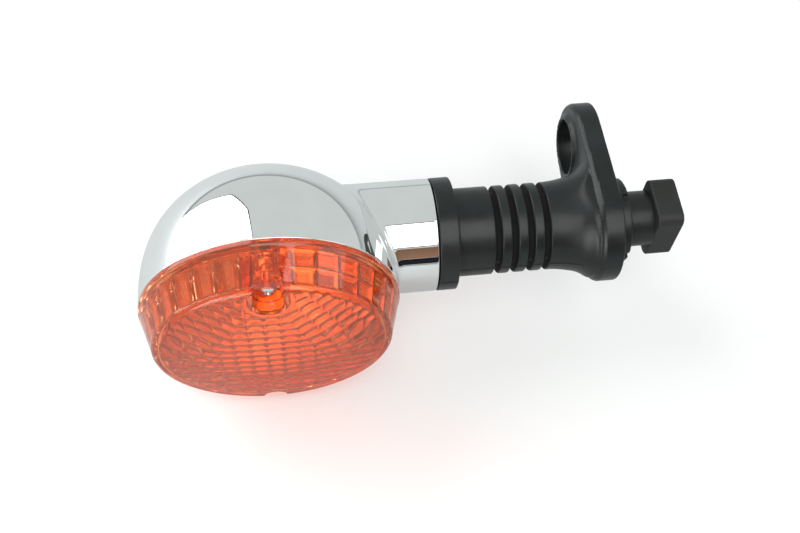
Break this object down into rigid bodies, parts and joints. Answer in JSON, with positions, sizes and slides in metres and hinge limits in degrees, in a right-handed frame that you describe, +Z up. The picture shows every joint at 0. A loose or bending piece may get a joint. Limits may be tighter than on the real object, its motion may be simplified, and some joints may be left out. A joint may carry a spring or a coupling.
{
  "type": "motorcycle turn signal indicator",
  "caption": "Round chrome bowl turn signal with an amber prismatic lens, on a ribbed flexible rubber stalk with a flange, an ear hole and a keyed end block.",
  "frame": {"origin": "stalk axis at the flange's vehicle-side seat face, where the round locating boss starts", "axes": "+X along the stalk from the lamp towards the vehicle, -Y the way the lens faces, +Z up"},
  "size_m": [0.1819, 0.0868, 0.084],
  "materials": {
    "chrome": "mirror polished plate",
    "amber_lens": "clear tinted, glossy",
    "black_rubber": "matte moulded",
    "gasket_rubber": "matte",
    "reflector_plate": "bright vacuum plated",
    "brass": "satin",
    "steel": "zinc plated",
    "screw_steel": "bright plated",
    "bulb_glass": "clear",
    "stem_glass": "clear",
    "filament": "drawn wire",
    "insulator": "moulded",
    "solder": "soft solder",
    "black_steel": "black plated"
  },
  "bodies": {
    "mount": {"stalk_root": "black_rubber", "stalk_flex_root": "black_rubber", "root_stem": "steel", "end_plate": "steel", "end_block": "black_rubber"},
    "stalk_middle": {"stalk_rib": "black_rubber"},
    "lamp": {"housing": "chrome", "screw_insert": "brass", "lens_gasket": "gasket_rubber", "reflector": "reflector_plate", "socket_shell": "brass", "socket_bracket": "steel", "bracket_screws": "screw_steel", "socket_disc": "insulator", "contact_spring": "screw_steel", "stalk_tip": "black_rubber", "stalk_flex_lamp": "black_rubber", "tip_stud": "steel", "stud_washer": "steel", "stud_nut": "steel"},
    "bulb": {"bulb_glass": "bulb_glass", "bulb_base": "brass", "bulb_insulator": "insulator", "bulb_contact": "solder", "bulb_stem": "stem_glass", "filament_leads": "filament", "bulb_filament": "filament"},
    "plunger": {"contact_plunger": "brass"},
    "lens": {"lens": "amber_lens"},
    "lens_screw": {"lens_screw": "screw_steel"}
  },
  "joints": [
    {"name": "stalk_sweep", "type": "hinge", "parent": "mount", "child": "stalk_middle", "pos_m": [-0.02765, 0, 0], "axis": [0, 0, 1], "range_deg": [-20, 20], "stiffness_Nm_per_rad": 14, "deforming": ["stalk_flex_root"]},
    {"name": "stalk_lift", "type": "hinge", "parent": "stalk_middle", "child": "lamp", "pos_m": [-0.03865, 0, 0], "axis": [0, 1, 0], "range_deg": [-20, 20], "stiffness_Nm_per_rad": 14, "deforming": ["stalk_flex_lamp"]},
    {"name": "bulb_push", "type": "slide", "parent": "lamp", "child": "bulb", "axis": [1, 0, 0], "range_m": [0, 0.002], "stiffness_N_per_m": 700, "deforming": ["contact_spring"]},
    {"name": "contact_push", "type": "slide", "parent": "lamp", "child": "plunger", "axis": [1, 0, 0], "range_m": [0, 0.002]},
    {"name": "lens_lift", "type": "slide", "parent": "lamp", "child": "lens", "axis": [0, -1, 0], "range_m": [0, 0.03]},
    {"name": "lens_screw_turn", "type": "hinge", "parent": "lens", "child": "lens_screw", "pos_m": [-0.1175, -0.032, 0.0307], "axis": [0, 1, 0], "continuous": true}
  ],
  "couplings": [
    {"joint": "contact_push", "follows": "bulb_push", "ratio": 1}
  ]
}
